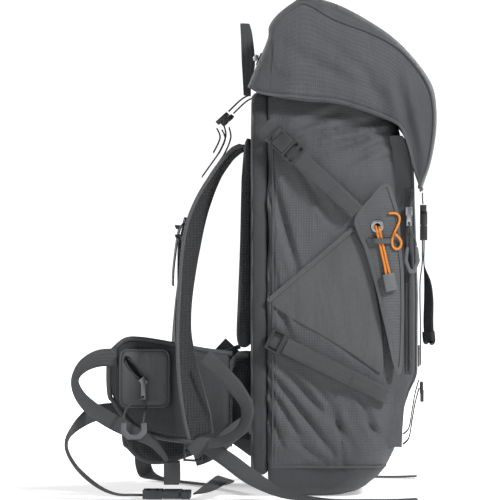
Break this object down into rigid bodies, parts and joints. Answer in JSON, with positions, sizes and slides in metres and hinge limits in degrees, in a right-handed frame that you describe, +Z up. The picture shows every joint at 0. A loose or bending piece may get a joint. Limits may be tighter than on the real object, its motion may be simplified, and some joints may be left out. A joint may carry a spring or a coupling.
{
  "type": "ski touring backpack",
  "caption": "Upright ski touring backpack with a hooded lid, framed back, padded shoulder straps, hip belt with pockets, compression straps and a tool holder cord.",
  "frame": {"origin": "on the flat base, centred across the bag", "axes": "+Z up, +Y towards the wearer's back (harness side), -X the wearer's left"},
  "size_m": [0.3728, 0.4454, 0.603],
  "materials": {
    "side_fabric": "ripstop weave",
    "lid_fabric": "ripstop weave",
    "base_fabric": "coarse plain weave",
    "pocket_fabric": "smooth coated weave",
    "stretch_fabric": "fine knit",
    "wing_fabric": "ribbed coated weave",
    "mesh_pad": "spacer mesh over foam",
    "webbing": "ribbed webbing",
    "buckle_plastic": "satin moulded",
    "zip_tape": "coil zip",
    "zip_metal": "satin",
    "grip_plastic": "matt moulded",
    "orange_cord": "braided sheath",
    "grey_cord": "braided sheath",
    "sheet_plastic": "matt sheet",
    "stay_metal": "mill finish"
  },
  "bodies": {
    "bag": {"back_pad": "mesh_pad", "back_panel": "side_fabric", "bottom_panel": "base_fabric", "collar": "side_fabric", "cord_tab": "grip_plastic", "frame_sheet": "sheet_plastic", "frame_sleeve": "side_fabric", "frame_stays": "stay_metal", "front_panel": "base_fabric", "front_pocket": "pocket_fabric", "front_strap": "webbing", "front_zip": "zip_tape", "hip_buckle_socket": "buckle_plastic", "hip_web_left": "webbing", "hip_web_right": "webbing", "load_lifters": "webbing", "lower_ladders": "buckle_plastic", "lumbar_pad": "mesh_pad", "side_buckle_sockets": "buckle_plastic", "side_panel_left": "side_fabric", "side_panel_right": "side_fabric", "side_pockets": "stretch_fabric", "side_straps_left": "webbing", "side_straps_right": "webbing", "strap_adjusters": "webbing", "tool_cord": "orange_cord", "tool_cord_loop": "orange_cord", "tool_loops": "webbing", "tool_wing_left": "wing_fabric", "tool_wing_right": "wing_fabric", "wing_eyelets": "zip_metal"},
    "lid": {"lid_top": "lid_fabric", "lid_sides": "lid_fabric", "lid_inner": "lid_fabric", "lid_zip": "zip_tape"},
    "lid_zip_slider": {"lid_zip_slider": "zip_metal"},
    "haul_loop": {"haul_loop": "webbing"},
    "lid_strap": {"lid_strap": "webbing", "lid_buckle_socket": "buckle_plastic"},
    "lid_buckle_plug": {"lid_buckle_plug": "buckle_plastic"},
    "side_buckle_plug_left": {"side_buckle_plug_left": "buckle_plastic"},
    "side_buckle_plug_right": {"side_buckle_plug_right": "buckle_plastic"},
    "front_zip_slider": {"front_zip_slider": "zip_metal", "front_zip_cord": "grey_cord", "front_zip_grip": "grip_plastic"},
    "hip_wing_left": {"hip_wing_left": "mesh_pad", "hip_pocket_left": "pocket_fabric"},
    "hip_wing_right": {"hip_wing_right": "mesh_pad", "hip_pocket_right": "pocket_fabric"},
    "hip_zip_slider_left": {"hip_zip_slider_left": "zip_metal", "hip_zip_cord": "grey_cord", "hip_zip_grip": "grip_plastic"},
    "hip_zip_slider_right": {"hip_zip_slider_right": "zip_metal"},
    "shoulder_left": {"shoulder_strap_left": "mesh_pad", "strap_ladder_left": "buckle_plastic"},
    "shoulder_right": {"shoulder_strap_right": "mesh_pad", "strap_ladder_right": "buckle_plastic"},
    "sternum_left": {"sternum_strap_left": "webbing"},
    "sternum_right": {"sternum_strap_right": "webbing"},
    "hip_buckle_plug": {"hip_buckle_plug": "buckle_plastic"}
  },
  "joints": [
    {"name": "lid_hinge", "type": "hinge", "parent": "bag", "child": "lid", "pos_m": [0, 0.074, 0.494], "axis": [-1, 0, 0], "range_deg": [0, 95]},
    {"name": "haul_loop_hinge", "type": "hinge", "parent": "bag", "child": "haul_loop", "pos_m": [0, 0.074, 0.494], "axis": [-1, 0, 0], "range_deg": [0, 95]},
    {"name": "lid_zip_slide", "type": "slide", "parent": "lid", "child": "lid_zip_slider", "axis": [1, 0, 0], "range_m": [0, 0.15]},
    {"name": "lid_strap_swing", "type": "hinge", "parent": "lid", "child": "lid_strap", "pos_m": [0, -0.1376, 0.3676], "axis": [-1, 0, 0], "range_deg": [0, 70]},
    {"name": "lid_buckle_slide", "type": "slide", "parent": "bag", "child": "lid_buckle_plug", "axis": [0, 0, -1], "range_m": [0, 0.025]},
    {"name": "side_buckle_slide_left", "type": "slide", "parent": "bag", "child": "side_buckle_plug_left", "axis": [0, -0.7302, -0.6833], "range_m": [0, 0.02]},
    {"name": "side_buckle_slide_right", "type": "slide", "parent": "bag", "child": "side_buckle_plug_right", "axis": [0, -0.7302, -0.6833], "range_m": [0, 0.02]},
    {"name": "front_zip_slide", "type": "slide", "parent": "bag", "child": "front_zip_slider", "axis": [0, 0, -1], "range_m": [0, 0.17]},
    {"name": "hip_wing_hinge_left", "type": "hinge", "parent": "bag", "child": "hip_wing_left", "pos_m": [-0.099, 0.093, 0.118], "axis": [0, 0, -1], "range_deg": [0, 25], "deforming": ["hip_web_left"]},
    {"name": "hip_wing_hinge_right", "type": "hinge", "parent": "bag", "child": "hip_wing_right", "pos_m": [0.099, 0.093, 0.118], "axis": [0, 0, 1], "range_deg": [0, 25], "deforming": ["hip_web_right"]},
    {"name": "hip_zip_slide_left", "type": "slide", "parent": "hip_wing_left", "child": "hip_zip_slider_left", "axis": [-0.074, 0.6278, 0.7748], "range_m": [0, 0.022]},
    {"name": "hip_zip_slide_right", "type": "slide", "parent": "hip_wing_right", "child": "hip_zip_slider_right", "axis": [0.093, 0.7878, 0.6089], "range_m": [0, 0.02]},
    {"name": "shoulder_hinge_left", "type": "hinge", "parent": "bag", "child": "shoulder_left", "pos_m": [-0.06, 0.083, 0.424], "axis": [0, 1, 0], "range_deg": [0, 30], "deforming": ["load_lifters", "strap_adjusters"]},
    {"name": "shoulder_hinge_right", "type": "hinge", "parent": "bag", "child": "shoulder_right", "pos_m": [0.06, 0.083, 0.424], "axis": [0, -1, 0], "range_deg": [0, 30], "deforming": ["load_lifters", "strap_adjusters"]},
    {"name": "sternum_slide_left", "type": "slide", "parent": "shoulder_left", "child": "sternum_left", "axis": [-0.4786, 0.1672, -0.862], "range_m": [-0.01, 0.01]},
    {"name": "sternum_slide_right", "type": "slide", "parent": "shoulder_right", "child": "sternum_right", "axis": [0.4785, 0.2637, -0.8375], "range_m": [-0.01, 0.01]},
    {"name": "hip_buckle_slide", "type": "slide", "parent": "bag", "child": "hip_buckle_plug", "axis": [0, 1, 0], "range_m": [0, 0.03]}
  ],
  "couplings": [
    {"joint": "haul_loop_hinge", "follows": "lid_hinge", "ratio": 1}
  ]
}
